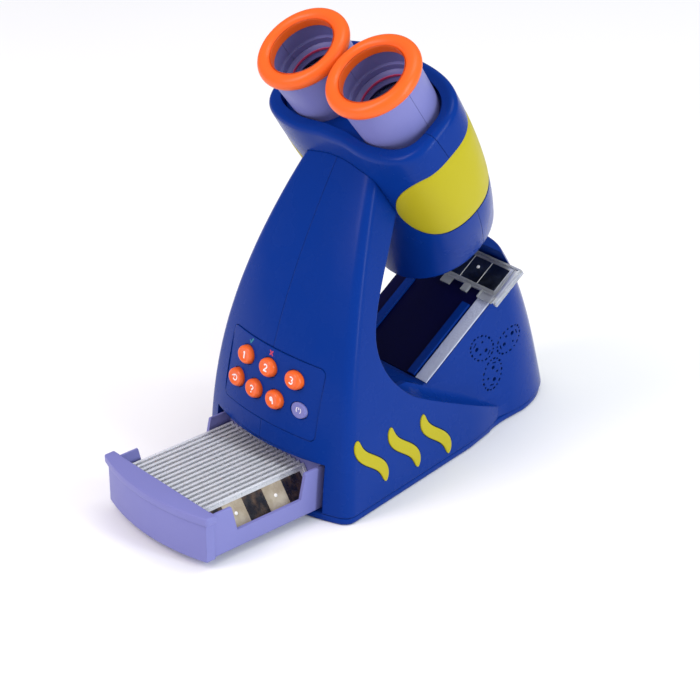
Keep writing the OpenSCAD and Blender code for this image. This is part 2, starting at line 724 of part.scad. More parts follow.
base_plate();
rubber_feet();
housing_screws();
left_housing();
right_housing();
tray_garage();
battery_box();
battery_cells();
battery_contacts();
battery_door();
battery_door_screw();
control_panel();
keypad_membrane();
circuit_board();
sound_chip();
speaker();
left_inlays();
right_inlays();
stage_plate();
stage_rails();
light_strip();
led_lamp();
head_front_shell();
head_rear_shell();
head_grip();
eyepiece_deck();
left_tube_front();
left_tube_rear();
right_tube_front();
right_tube_rear();
left_eyecup();
right_eyecup();
left_lens_retainer();
right_lens_retainer();
left_eyepiece_lens();
right_eyepiece_lens();
objective_lens();
objective_cell();
slide_frame();
slide_film();
tray();
stored_slides();
stored_films();
button_1();
button_2();
button_3();
button_repeat();
button_hint();
button_quiz();
button_power();
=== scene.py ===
import json
import math

import bmesh
import bpy
from mathutils import Matrix, Vector


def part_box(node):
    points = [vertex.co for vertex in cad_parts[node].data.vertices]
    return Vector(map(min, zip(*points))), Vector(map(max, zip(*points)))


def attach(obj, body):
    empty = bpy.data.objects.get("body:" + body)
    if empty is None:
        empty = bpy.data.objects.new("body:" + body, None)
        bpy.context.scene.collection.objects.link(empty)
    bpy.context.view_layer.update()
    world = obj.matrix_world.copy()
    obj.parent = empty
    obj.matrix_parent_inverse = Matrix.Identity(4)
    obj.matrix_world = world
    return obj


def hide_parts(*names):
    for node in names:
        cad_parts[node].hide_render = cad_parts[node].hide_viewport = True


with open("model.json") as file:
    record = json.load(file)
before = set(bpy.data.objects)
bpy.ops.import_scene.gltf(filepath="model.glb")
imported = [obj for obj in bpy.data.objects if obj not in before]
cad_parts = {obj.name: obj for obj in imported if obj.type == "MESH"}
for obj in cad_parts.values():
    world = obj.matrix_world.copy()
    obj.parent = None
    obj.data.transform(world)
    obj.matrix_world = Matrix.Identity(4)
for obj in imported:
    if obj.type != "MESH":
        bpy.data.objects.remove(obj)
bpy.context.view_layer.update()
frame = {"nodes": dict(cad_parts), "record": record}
scene = bpy.context.scene
scene.view_settings.view_transform = "Standard"
SLOT_OF = {s["node"]: s["material_slot"] for s in frame["record"]["subparts"]}
MM = 0.001


def box_mm(node):
    low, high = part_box(node)
    return low / MM, high / MM


# ================= sizes, all in mm, some read from the imported frame, the rest given ===
plate_low, plate_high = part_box("base_plate")
PLATE_LOW, PLATE_TOP = plate_low.z / MM, plate_high.z / MM
PLATE_SET_BACK = 0.6
FRONT_Y = plate_low.y / MM - PLATE_SET_BACK
REAR_Y = plate_high.y / MM
BASE_HALF_W = 67
CUP = [sum(box_mm(n), Vector()) / 2 for n in ("left_eyecup", "right_eyecup")]
EYE = (CUP[0] + CUP[1]) / 2
EYE_X = (CUP[1].x - CUP[0].x) / 2
TILT = math.radians(35)
ARM_TOP = 205
ARM_TAPER, ARM_TAPER_POWER = 30, 1.8
DRUM_HALF_W, DRUM_DEPTH, DRUM_DEPTH_TAPER = 38, 57, 0.28
DRUM_FRONT_Y = -60
FRONT_R = 147
CORNER = 6.5
SIDE_TAPER, SIDE_START = 0.149, 12
SIDE_TURN_Y, SIDE_TURN = 15, 0.0039


# ================= curves, the same as the CAD part's =================
def bez(p, t):
    a = [(1 - t) ** 3, 3 * t * (1 - t) ** 2, 3 * t * t * (1 - t), t ** 3]
    return tuple(sum(w * q[i] for w, q in zip(a, p)) for i in (0, 1))


def bez_run(p, n, start=0):
    return [bez(p, i / n) for i in range(start, n + 1)]


SEAM = [(FRONT_Y, 0), (FRONT_Y + 2.5, 75), (FRONT_Y + 21, 128), (FRONT_Y + 67.5, ARM_TOP)]
THROAT_UPPER = [(-28, 190), (-39, 162), (-66, 132), (-67, 107)]
THROAT_LOWER = [(-67, 107), (-67, 90), (-56, 74.5), (-38, 60.5)]
LEDGE = [(-38, 60.5), (-16, 46.5), (22, 30), (52, 13)]
REAR_WALL = [(REAR_Y + 1.6, PLATE_TOP), (REAR_Y - 10.8, 45), (REAR_Y - 26.2, 94), (REAR_Y - 55.8, 126)]


def side_x(y, z, inset=0.0):
    """Half the body's width at y and z: it narrows upwards and backwards, and turns in behind SIDE_TURN_Y."""
    turn_in = SIDE_TURN * max(0, y - SIDE_TURN_Y) ** 2
    upwards = ARM_TAPER * (max(z, 0) / ARM_TOP) ** ARM_TAPER_POWER
    return BASE_HALF_W - upwards - SIDE_TAPER * (y - FRONT_Y - SIDE_START) - turn_in - inset


def front_dy(x):
    """How far the bowed front has gone back at x."""
    return FRONT_R - math.sqrt(FRONT_R ** 2 - x * x)


def quad(a, b, c, t):
    return tuple((1 - t) ** 2 * p + 2 * t * (1 - t) * q + t * t * r for p, q, r in zip(a, b, c))


def arc(cx, cy, rx, ry, start, stop, n=14):
    """n + 1 points along an ellipse, from start to stop in degrees."""
    turns = [math.radians(start + (stop - start) * i / n) for i in range(n + 1)]
    return [(cx + rx * math.cos(q), cy + ry * math.sin(q)) for q in turns]


def skirt_ring(s, inset, back_y, front_steps=16, turn=12):
    """Half of a level section of the skirt, from the middle of the front, round the corner, to back_y."""
    y0, z = s[0] + inset, s[1]
    xc = 40.0
    for _ in range(8):
        xc = side_x(y0 + front_dy(xc), z, inset)
    yc, xa = y0 + front_dy(xc), xc - CORNER
    a = (xa, y0 + front_dy(xa))
    b = (side_x(yc + CORNER, z, inset), yc + CORNER)
    xs = [xa * i / front_steps for i in range(front_steps + 1)]
    ring = [(x, y0 + front_dy(x), z) for x in xs]
    ring += [(*quad(a, (xc, yc), b, i / turn), z) for i in range(1, turn + 1)]
    ys = [SIDE_TURN_Y + (back_y - SIDE_TURN_Y) * i / 12 for i in range(13)]
    return ring + [(side_x(y, z, inset), y, z) for y in ys] + [(0, back_y, z)]


def drum_ring(s, inset):
    """Half of a level section of the drum under the stage, with its round back at s[0]."""
    depth = DRUM_DEPTH - DRUM_DEPTH_TAPER * s[1]
    yr, yc, w = s[0] - inset, s[0] - depth, DRUM_HALF_W - inset
    turns = [math.radians(2.5 * i) for i in range(37)]
    back = [(w * math.cos(q), yc + (yr - yc) * math.sin(q), s[1]) for q in turns]
    return [(0, DRUM_FRONT_Y, s[1]), (w, DRUM_FRONT_Y, s[1])] + back


# ================= meshes =================
def make(name, verts, faces):
    me = bpy.data.meshes.new(name)
    me.from_pydata([[c * MM for c in v] for v in verts], [], faces)
    bm = bmesh.new()
    bm.from_mesh(me)
    bmesh.ops.remove_doubles(bm, verts=bm.verts, dist=1e-7)
    bmesh.ops.dissolve_degenerate(bm, edges=bm.edges, dist=1e-7)
    bmesh.ops.recalc_face_normals(bm, faces=bm.faces)
    bm.to_mesh(me)
    bm.free()
    o = bpy.data.objects.new(name, me)
    scene.collection.objects.link(o)
    return o


def loft(name, rings, closed=False):
    """A skin over rings of equally many points, capped at both ends unless it closes on itself."""
    n, m = len(rings[0]), len(rings)
    faces = [[j * n + i, j * n + (i + 1) % n, (j + 1) % m * n + (i + 1) % n, (j + 1) % m * n + i]
             for j in range(m if closed else m - 1) for i in range(n)]
    if not closed:
        faces += [list(range(n))[::-1], [(m - 1) * n + i for i in range(n)]]
    return make(name, [p for r in rings for p in r], faces)


def prism(name, outline, low, high, place=Matrix()):
    """An outline in X and Y, drawn up from low to high, then moved by place."""
    rings = [[place @ Vector((*p, z)) for p in outline] for z in (low, high)]
    return loft(name, rings)


def block(name, low, high, place=Matrix()):
    outline = [(low[0], low[1]), (high[0], low[1]), (high[0], high[1]), (low[0], high[1])]
    return prism(name, outline, low[2], high[2], place)


def side_prism(name, outline, half_w=90):
    """An outline in Y and Z, drawn across the whole object."""
    return loft(name, [[(x, *p) for p in outline] for x in (-half_w, half_w)])


def revolve(name, profile, place=Matrix(), steps=128, start=0.0, sweep=360.0):
    """A closed profile of (radius, height) turned about Z."""
    whole = sweep >= 360
    count = steps if whole else steps + 1
    rings = []
    for k in range(count):
        q = math.radians(start + sweep * k / steps)
        rings.append([place @ Vector((r * math.cos(q), r * math.sin(q), z)) for r, z in profile])
    return loft(name, rings, closed=whole)


def settle(o):
    """Applies an object's modifiers to its mesh."""
    bpy.context.view_layer.update()
    me = bpy.data.meshes.new_from_object(o.evaluated_get(bpy.context.evaluated_depsgraph_get()))
    o.modifiers.clear()
    o.data = me
    return o


def combine(o, cutters, operation="DIFFERENCE"):
    for c in cutters:
        m = o.modifiers.new("combine", "BOOLEAN")
        m.operation, m.solver, m.object = operation, "MANIFOLD", c
    settle(o)
    for c in cutters:
        bpy.data.objects.remove(c)
    return o


def cut(o, *cutters):
    return combine(o, cutters)


def join(o, *others):
    return combine(o, others, "UNION")


def common(o, *others):
    return combine(o, others, "INTERSECT")


def mirrored(o, name):
    """A copy of an object for the other side."""
    c = o.copy()
    c.data = o.data.copy()
    c.name = c.data.name = name
    c.data.transform(Matrix.Scale(-1, 4, (1, 0, 0)))
    c.data.flip_normals()
    scene.collection.objects.link(c)
    return c


def rounded(o, width, segments=2, angle=35):
    """Rounds the edges that turn more than angle."""
    m = o.modifiers.new("rounding", "BEVEL")
    m.width, m.segments, m.limit_method = width * MM, segments, "ANGLE"
    m.angle_limit = math.radians(angle)
    m.use_clamp_overlap = True
    return settle(o)


def done(o, body, nodes=(), material=None, slot=None, sharp=32):
    """Gives a piece its shading, its material and its place in the frame."""
    o.data.shade_smooth()
    o.data.set_sharp_from_angle(angle=math.radians(sharp))
    o.data.materials.clear()
    slot = slot or SLOT_OF[nodes[0]]
    o.data.materials.append(material or MATERIALS[slot])
    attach(o, body)
    if nodes:
        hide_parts(*nodes)
    return o


def optic(h=0.0):
    """The eyepieces' tilted frame, h below the eyecups: X right, Y away, Z up along their axis."""
    return Matrix.Translation(EYE) @ Matrix.Rotation(TILT, 4, "X") @ Matrix.Translation((0, 0, -h))


def eyepiece(side, h=0.0):
    """The tilted frame on the axis of the left (-1) or the right (1) eyepiece."""
    return optic(h) @ Matrix.Translation((side * EYE_X, 0, 0))


def optic_y(v, h):
    """Where the point (v, h) of the tilted frame lies along Y, and optic_z along Z."""
    return EYE.y + h * math.sin(TILT) + v * math.cos(TILT)


def optic_z(v, h):
    return EYE.z - h * math.cos(TILT) + v * math.sin(TILT)


# ================= materials =================
class Shade:
    """A node material built from a Principled shader, with helpers for its texture nodes."""

    def __init__(self, name):
        self.mat = bpy.data.materials.new(name)
        self.mat.use_nodes = True
        self.tree = self.mat.node_tree
        self.bsdf = self.tree.nodes["Principled BSDF"]
        self.place = self.tree.nodes.new("ShaderNodeTexCoord").outputs["Object"]

    def node(self, kind, **values):
        n = self.tree.nodes.new("ShaderNode" + kind)
        for key, value in values.items():
            if key in n.inputs:
                n.inputs[key].default_value = value
            else:
                setattr(n, key, value)
        return n

    def link(self, a, b):
        self.tree.links.new(a, b)
        return b

    def noise(self, scale, detail=2.0, rough=0.5, stretch=None):
        n = self.node("TexNoise", Scale=scale, Detail=detail, Roughness=rough)
        source = self.place
        if stretch:
            m = self.node("Mapping")
            m.inputs["Scale"].default_value = stretch
            self.link(source, m.inputs["Vector"])
            source = m.outputs["Vector"]
        self.link(source, n.inputs["Vector"])
        return n.outputs["Fac"]

    def ramp(self, source, low, high, a, b):
        r = self.node("MapRange")
        for key, value in (("From Min", low), ("From Max", high), ("To Min", a), ("To Max", b)):
            r.inputs[key].default_value = value
        self.link(source, r.inputs["Value"])
        return r.outputs["Result"]

    def blend(self, source, a, b):
        m = self.node("Mix", data_type="RGBA")
        m.inputs[6].default_value, m.inputs[7].default_value = (*a, 1), (*b, 1)
        self.link(source, m.inputs[0])
        return m.outputs[2]

    def surface(self, heights, edge=0.0):
        """Bump from (source, strength, distance) rows, over edges softened by a small radius."""
        normal = None
        if edge:
            b = self.node("Bevel", samples=6)
            b.inputs["Radius"].default_value = edge
            normal = b.outputs["Normal"]
        for source, strength, distance in heights:
            b = self.node("Bump")
            b.inputs["Strength"].default_value = strength
            b.inputs["Distance"].default_value = distance
            self.link(source, b.inputs["Height"])
            if normal:
                self.link(normal, b.inputs["Normal"])
            normal = b.outputs["Normal"]
        if normal:
            self.link(normal, self.bsdf.inputs["Normal"])

    def set(self, **values):
        for key, value in values.items():
            self.bsdf.inputs[key.replace("_", " ")].default_value = value


def plastic(name, rgb, rough=0.36, grain=0.12, grain_scale=1500,
            edge=0.0006, tint=0.06, coat=0.0, spec=0.5):
    """Moulded plastic: a fine grain, a slow drift in colour and gloss, and softened edges."""
    s = Shade(name)
    drift = s.noise(14, 3)
    dark = [c * (1 - tint) for c in rgb]
    light = [min(1, c * (1 + tint)) for c in rgb]
    s.link(s.blend(drift, dark, light), s.bsdf.inputs["Base Color"])
    s.link(s.ramp(s.noise(60, 4), 0.3, 0.7, rough - 0.04, rough + 0.05), s.bsdf.inputs["Roughness"])
    s.surface([(s.noise(35, 2), 0.05, 0.0004), (s.noise(grain_scale, 3), grain, 0.00012)], edge)
    s.set(IOR=1.5, Coat_Weight=coat, Coat_Roughness=0.12, Specular_IOR_Level=spec)
    return s.mat


def frosted(name, rgb, rough=0.3, through=0.6, edge=0.00025, grain=0.1, speckle=0.0):
    """Cloudy clear plastic."""
    s = Shade(name)
    cloud = s.noise(120, 4)
    s.link(s.blend(cloud, [c * 0.86 for c in rgb], rgb), s.bsdf.inputs["Base Color"])
    s.link(s.ramp(s.noise(300, 3), 0.3, 0.7, rough - 0.06, rough + 0.08), s.bsdf.inputs["Roughness"])
    heights = [(s.noise(900, 3), grain, 0.0001)]
    if speckle:
        heights.append((s.noise(700, 4, 0.7), speckle, 0.0006))
    s.surface(heights, edge)
    s.set(IOR=1.46, Transmission_Weight=through)
    return s.mat


def metal(name, rgb, rough=0.3):
    """Brushed or pressed steel."""
    s = Shade(name)
    brushed = s.noise(160, 4, 0.6, (1, 14, 14))
    s.link(s.blend(brushed, [c * 0.8 for c in rgb], rgb), s.bsdf.inputs["Base Color"])
    s.link(s.ramp(brushed, 0.2, 0.8, rough - 0.08, rough + 0.1), s.bsdf.inputs["Roughness"])
    s.surface([(brushed, 0.15, 0.0001)], 0.0002)
    s.set(Metallic=1.0)
    return s.mat


def lens(name, rgb, alpha):
    """A polished, see-through moulding."""
    s = Shade(name)
    s.link(s.blend(s.noise(40, 2), [c * 0.9 for c in rgb], rgb), s.bsdf.inputs["Base Color"])
    s.link(s.ramp(s.noise(90, 2), 0.3, 0.7, 0.02, 0.07), s.bsdf.inputs["Roughness"])
    s.set(IOR=1.5, Alpha=alpha, Coat_Weight=0.6)
    return s.mat


def picture(name, dark, light, stretch, scale, low=0.42, high=0.72, rough=0.25):
    """A film cell: blurred streaks between two colours, under a glossy film."""
    s = Shade(name)
    streak = s.noise(scale, 5, 0.6, stretch)
    s.link(s.blend(s.ramp(streak, low, high, 0, 1), dark, light), s.bsdf.inputs["Base Color"])
    s.link(s.ramp(s.noise(200, 2), 0.3, 0.7, rough - 0.05, rough + 0.08), s.bsdf.inputs["Roughness"])
    s.surface([(s.noise(400, 2), 0.05, 0.0001)])
    s.set(Coat_Weight=0.3)
    return s.mat


BLUE = (0.0022, 0.030, 0.225)
NIGHT = (0.003, 0.003, 0.04)
LAVENDER = (0.185, 0.19, 0.46)
ORANGE = (0.85, 0.125, 0.012)
YELLOW = (0.43, 0.37, 0.010)
MATERIALS = {
    "blue_plastic": plastic("blue_plastic", BLUE, 0.26, 0.14, edge=0.0009, spec=0.07),
    "blue_gloss": plastic("blue_gloss", BLUE, 0.24, 0.10, edge=0.0009, spec=0.09),
    "purple_plastic": plastic("purple_plastic", NIGHT, 0.36, 0.16, edge=0.0005, spec=0.08),
    "lavender_plastic": plastic("lavender_plastic", LAVENDER, 0.42, 0.12, edge=0.0005, spec=0.3),
    "orange_plastic": plastic("orange_plastic", ORANGE, 0.33, 0.08, edge=0.0004, spec=0.3),
    "orange_gloss": plastic("orange_gloss", ORANGE, 0.30, 0.05, edge=0.0003),
    "yellow_plastic": plastic("yellow_plastic", YELLOW, 0.42, 0.2, 900, edge=0.0004, spec=0.15),
    "frosted_plastic": frosted("frosted_plastic", (0.74, 0.78, 0.98), 0.4, 0.1, speckle=1.6),
    "slide_clear": frosted("slide_clear", (0.95, 0.97, 1.0), 0.18, 0.72, grain=0.04),
    "rose_plastic": plastic("rose_plastic", (0.62, 0.05, 0.16), 0.35, 0.05, edge=0.0002),
    "dark_plastic": plastic("dark_plastic", (0.006, 0.008, 0.032), 0.45, 0.25, edge=0.0004),
    "membrane_rubber": plastic("membrane_rubber", (0.3, 0.3, 0.33), 0.7, 0.3, 900),
    "feet_rubber": plastic("feet_rubber", (0.02, 0.02, 0.02), 0.75, 0.5, 700),
    "screw_steel": metal("screw_steel", (0.6, 0.6, 0.61)),
    "contact_steel": metal("contact_steel", (0.62, 0.62, 0.6), 0.25),
    "cell_wrap": plastic("cell_wrap", (0.05, 0.05, 0.06), 0.25, 0.03, coat=0.5),
    "board": plastic("board", (0.03, 0.16, 0.06), 0.35, 0.2, 400),
    "chip_black": plastic("chip_black", (0.01, 0.01, 0.01), 0.5, 0.3),
    "speaker_black": plastic("speaker_black", (0.015, 0.015, 0.015), 0.6, 0.4, 600),
    "lamp_clear": lens("lamp_clear", (0.9, 0.9, 0.95), 0.6),
    "lens_clear": lens("lens_clear", (0.12, 0.14, 0.3), 0.45),
    "film": picture("film", (0.010, 0.010, 0.018), (0.10, 0.06, 0.04), (1, 1, 0.3), 260),
}
film_stage = picture("film_stage", (0.004, 0.005, 0.010), (0.02, 0.025, 0.04), (1, 1, 1), 120, rough=0.18)
film_spacer = picture("film_spacer", (0.34, 0.28, 0.20), (0.52, 0.46, 0.36), (1, 1, 1), 90)
slide_stored = frosted("slide_stored", (0.90, 0.91, 0.96), 0.28, 0.35, grain=0.05)
white_ink = plastic("white_ink", (0.86, 0.84, 0.82), 0.45, 0.05, tint=0.02, edge=0.0)
green_ink = plastic("green_ink", (0.0, 0.24, 0.26), 0.45, 0.05, tint=0.02, edge=0.0)
red_ink = plastic("red_ink", (0.52, 0.02, 0.07), 0.45, 0.05, tint=0.02, edge=0.0)
for node_name, cad in frame["nodes"].items():
    cad.data.materials.clear()
    cad.data.materials.append(MATERIALS[SLOT_OF[node_name]])

# ================= head shape =================
RIM_H, DECK_H, NOSE_H = 31, 37, 153
NOSE_ROUND, NOSE_R, NOSE_V = 7, 39, -9
HEAD_HALF_W = 68
WIDEST_H = 55
RIM_ROUND = 4
SPLIT_V = -6
WAVE_HALF_W, WAVE_RISE = 34, 3.5
GRIP_TIP, GRIP_TURN, GRIP_HIGH_TURN, GRIP_LOW_TURN = -66, -27, 46, 25
GRIP_MID, GRIP_HALF = 77, 26.5


def head_half_w(h):
    if h < WIDEST_H:
        return HEAD_HALF_W - 1.5 * ((WIDEST_H - h) / (WIDEST_H - RIM_H)) ** 2
    return HEAD_HALF_W - (HEAD_HALF_W - NOSE_R) * ((h - WIDEST_H) / (NOSE_H - WIDEST_H)) ** 2


def head_front(h):
    return -34 - 14 * (h - RIM_H) / (NOSE_H - RIM_H)


def head_rear(h):
    return 37.5 - 7.5 * (h - RIM_H) / (NOSE_H - RIM_H)


def head_inset(h):
    """How far the skin has drawn in at h, by the rounding at the nose's end and at the rim."""
    if h > NOSE_H - NOSE_ROUND:
        return NOSE_ROUND - math.sqrt(max(0, NOSE_ROUND ** 2 - (h - NOSE_H + NOSE_ROUND) ** 2))
    if h < RIM_H + RIM_ROUND:
        return RIM_ROUND - math.sqrt(max(0, RIM_ROUND ** 2 - (RIM_H + RIM_ROUND - h) ** 2))
    return 0


def wave(u, h):
    """The shallow hollow in the middle of the head's front, which fades out down the nose."""
    if abs(u) >= WAVE_HALF_W:
        return 0
    return WAVE_RISE * math.cos(math.radians(90 * u / WAVE_HALF_W)) ** 2 * max(0, 1 - (h - RIM_H) / 70)


def signed_power(c, e):
    return math.copysign(abs(c) ** e, c)


def head_point(q, h, inset=0.0):
    """The head's skin at the turn q, from square at the rim to round at the nose."""
    i = inset + head_inset(h)
    a, vm = head_half_w(h) - i, (head_front(h) + head_rear(h)) / 2
    b = (head_rear(h) - head_front(h)) / 2 - i
    square = max(0, 1 - (h - RIM_H) / 110)
    c, s = math.cos(math.radians(q)), math.sin(math.radians(q))
    e = 1 - (0.52 if s < 0 else 0.2) * square
    u, v = a * signed_power(c, e), vm + b * signed_power(s, e)
    return (u, v + (wave(u, h) if s < 0 else 0), -h)


def head_ring(h, inset=0.0, steps=180, at=None):
    place = optic()
    ring = [head_point(360 * (k + 0.5) / steps, h, inset) for k in range(steps)]
    return [place @ Vector((p[0], p[1], -at if at is not None else p[2])) for p in ring]


RIM_HS = [RIM_H + RIM_ROUND * (1 - math.cos(math.radians(10 * i))) for i in range(10)]
NOSE_HS = [NOSE_H - NOSE_ROUND * (1 - math.sin(math.radians(9 * i))) for i in range(11)]
MID_HS = [RIM_H + RIM_ROUND + (NOSE_H - NOSE_ROUND - RIM_H - RIM_ROUND) * i / 44 for i in range(1, 44)]


def head_solid(name, inset=0.0):
    hs = RIM_HS + MID_HS + NOSE_HS[:-1] + [NOSE_H - 0.02]
    return loft(name, [head_ring(h, inset) for h in hs])


def grip_edges(q, m):
    """The grip's edges: round at the tip, level along the sides, and swept up at the back."""
    t = min(1, max(0, (GRIP_TURN - q) / (GRIP_TURN - GRIP_TIP)))
    half = GRIP_HALF * max(0.01, math.sqrt(1 - t * t))
    high = math.sin(math.radians(max(0, q - GRIP_HIGH_TURN) / (90 - GRIP_HIGH_TURN) * 90)) ** 2
    low = math.sin(math.radians(max(0, q - GRIP_LOW_TURN) / (90 - GRIP_LOW_TURN) * 90)) ** 2
    return GRIP_MID - half - 17 * high - m, GRIP_MID + half - 25.5 * low + m


def grip_solid(name, inner, outer, m, puff=0.0, n=90, rows=26):
    """The grip from inner to outer under the head's skin, let out by m, with edges drawn in by puff."""
    place, rings = optic(), []
    for k in range(-n, n + 1):
        s = abs(k) / n
        q = 90 - (90 - GRIP_TIP) * math.sin(math.radians(90 * s))
        top, bottom = grip_edges(q, m)
        qq = 180 - q if k < 0 else q
        ring = []
        for r in range(rows + 1):
            edge = abs(2 * r / rows - 1) ** 12
            tip = max(0, (s - 0.97) / 0.03) ** 2
            lift = outer + puff * max(edge, tip)
            ring.append(head_point(qq, top + (bottom - top) * r / rows, lift))
        for r in range(rows, -1, -1):
            ring.append(head_point(qq, top + (bottom - top) * r / rows, inner))
        rings.append([place @ Vector(p) for p in ring])
    return loft(name, rings)


# ================= housings =================
HOUSING_LOW = PLATE_TOP + 0.25
STAGE_H, HOOD_V, HOOD_H = 190.3, 6, 12.5
SEAM_GAP = 0.09
BAY_HALF_W, BAY_MOUTH = 46.2, 50
BAY_TOP, BAY_BACK = 37.2, -10
PANEL_TILT = math.radians(12.5)
PANEL_AT = bez(SEAM, 0.352)
PANEL_HALF_W, PANEL_HALF_H = 41.5, 22.7
ON_PANEL = Matrix.Translation((0, *PANEL_AT)) @ Matrix.Rotation(math.radians(90) - PANEL_TILT, 4, "X")


def arm_outline():
    """The arm and skirt from the side, with the throat and the ledge."""
    points = [(-150, HOUSING_LOW), (-150, 220), (-28, 220)]
    points += bez_run(THROAT_UPPER, 48) + bez_run(THROAT_LOWER, 40, 1) + bez_run(LEDGE, 40, 1)
    return points + [(56, HOUSING_LOW)]


def drum_outline():
    """The drum from the side: up the front, along the tilted stage, and over the hood behind it."""
    return [
        (-50, HOUSING_LOW), (-50, 70), (-34, 58), (-15, optic_z(-89, STAGE_H)),
        (optic_y(HOOD_V, STAGE_H), optic_z(HOOD_V, STAGE_H)),
        (optic_y(HOOD_V, STAGE_H - HOOD_H), optic_z(HOOD_V, STAGE_H - HOOD_H)),
        (140, optic_z(HOOD_V + 8, STAGE_H - HOOD_H)), (140, HOUSING_LOW)]


def ledge_ring(t):
    """A section of the fillet that runs down the ledge from the skirt's side to the drum."""
    p = bez(LEDGE, t)
    x = side_x(p[0], p[1])
    rise = 5.5 * min(1, 8 * t) * min(1, 3 * (1 - t))
    inner = DRUM_HALF_W - 4
    fillet = [quad((x, p[1]), (DRUM_HALF_W + 0.8, p[1] + 0.6), (DRUM_HALF_W, p[1] + rise + 0.05), i / 8)
              for i in range(9)]
    ring = [(inner, p[0], p[1] - 4)] + [(f[0], p[0], f[1]) for f in fillet]
    return ring + [(inner, p[0], p[1] + rise + 0.05)]


INLAY_PATH = [(-12, 18.5), (-15, 1), (15, -1), (12, -18.5)]
INLAY_HALF_W = 3.9
INLAY_Y, INLAY_Z, INLAY_STEP_Y, INLAY_STEP_Z = -79, 35.2, 30.5, -4.3


def inlay_side(t, w):
    """A point on one edge of the squiggle, w to the side of its path, tapering to both ends."""
    a, b = bez(INLAY_PATH, t + 0.005), bez(INLAY_PATH, t - 0.005)
    d = Vector((a[0] - b[0], a[1] - b[1])).normalized()
    half = w * math.sqrt(max(0, 1 - abs(2 * t - 1) ** 5))
    p = bez(INLAY_PATH, t)
    return (p[0] - d.y * half, p[1] + d.x * half)


def squiggle(grow, n=48):
    ts = [0.5 - 0.5 * math.cos(math.pi * i / n) for i in range(n + 1)]
    w = INLAY_HALF_W + grow
    return [inlay_side(t, w) for t in ts] + [inlay_side(t, -w) for t in ts[-2:0:-1]]


def inlay_solid(name, k, levels):
    """Squiggle k on the right side, through (height above the side, growth) levels."""
    yc, zc = INLAY_Y + INLAY_STEP_Y * k, INLAY_Z + INLAY_STEP_Z * k
    rings = []
    for level, grow in levels:
        ring = []
        for a, b in squiggle(grow):
            y, z = yc + a * math.cos(math.atan(SIDE_TAPER)), zc + b
            ring.append((side_x(y, z, -level), y, z))
        rings.append(ring)
    return loft(name, rings)


SPEAKER_Y, SPEAKER_Z, PETAL_OUT = 47, 53, 14


def sound_hole(u, v, r, length=0.0, turn=0.0, n=10):
    """A cutter for one hole, round or drawn out to a slot, at (u, v) from the speaker's middle."""
    spot = Matrix.Translation((0, SPEAKER_Y + u, SPEAKER_Z + v))
    outline = []
    for i in range(2 * n):
        q = math.pi * (i + 0.5) / n
        shift = math.copysign(length / 2, math.cos(q))
        x, y = r * math.cos(q) + shift, r * math.sin(q)
        across = x * math.sin(turn) + y * math.cos(turn)
        outline.append((-across, x * math.cos(turn) - y * math.sin(turn)))
    place = spot @ Matrix.Rotation(math.radians(90), 4, "Y")
    return prism("hole", outline, DRUM_HALF_W - 4, DRUM_HALF_W + 2, place)


def speaker_cutters():
    """Sound holes: dots round each of three petals, and a few dots and short slots within them."""
    found = []

    def hole(*values):
        found.append(sound_hole(*values))

    for turn in (25, 145, 265):
        t = math.radians(turn)

        def at(a, b):
            out = a + PETAL_OUT
            return (out * math.cos(t) - b * math.sin(t), out * math.sin(t) + b * math.cos(t))

        for i in range(18):
            q = 2 * math.pi * i / 18
            hole(*at(11 * math.cos(q), 8 * math.sin(q)), 0.7, 0.9 * (i % 2), q + t + math.pi / 2)
        for a, b, r in ((-4.6, 0, 1.3), (4.1, 2.2, 1.45), (2.4, -3.6, 0.85), (-1.2, 4.0, 0.85)):
            hole(*at(a, b), r)
        for a in (-8, 7.6):
            hole(*at(a, 0.4), 0.45, 2.6, t + math.pi / 2)
    return found


def rounded_outline(half_w, half_h, r, n=8):
    """A rectangle with round corners."""
    outline = []
    for cx, cy, start in ((1, 1, 0), (-1, 1, 90), (-1, -1, 180), (1, -1, 270)):
        outline += arc(cx * (half_w - r), cy * (half_h - r), r, r, start, start + 90, n)
    return outline


def housing():
    """The right housing: skirt, arm, drum and ledge, with its openings cut."""
    rings = [skirt_ring(bez(SEAM, i / 72), 0, 70) for i in range(73)]
    skirt = common(loft("right_housing_shell", rings), side_prism("arm", arm_outline()))
    drum = loft("drum", [drum_ring(bez(REAR_WALL, i / 44), 0) for i in range(45)])
    common(drum, side_prism("drum_cut", drum_outline()))
    wedge = loft("wedge", [ledge_ring(i / 40) for i in range(41)])
    body = join(skirt, drum, wedge)
    stage_cut = block("stage_cut", (-60, -88, -1.6), (60, HOOD_V + 0.05, 30), optic(STAGE_H))
    bay_low = (-5, -140, PLATE_TOP - 5)
    bay = common(block("bay", bay_low, (BAY_HALF_W + 1.4, BAY_BACK + 2, BAY_TOP + 1.45)),
                 loft("bay_limit", [[(p[0] - 1, p[1], p[2]) for p in ring] for ring in rings]))
    panel_outline = rounded_outline(PANEL_HALF_W + 0.3, PANEL_HALF_H + 0.3, 4.3)
    cut(body,
        block("seam", (-5, -200, -5), (SEAM_GAP, 200, 300)),
        head_solid("head_cut", -0.12),
        bay,
        block("mouth", bay_low, (BAY_MOUTH, -96, BAY_TOP)),
        prism("panel_cut", panel_outline, -16, 24, ON_PANEL),
        stage_cut)
    cut(body, *[inlay_solid("inlay_cut", k, [(-1.3, 0.3), (0.0, 0.3), (3, 0.3)]) for k in range(3)])
    return body


right = housing()
left = mirrored(right, "left_housing_shell")
cut(right, *speaker_cutters())
done(right, "housing", ["right_housing"])
done(left, "housing", ["left_housing"])

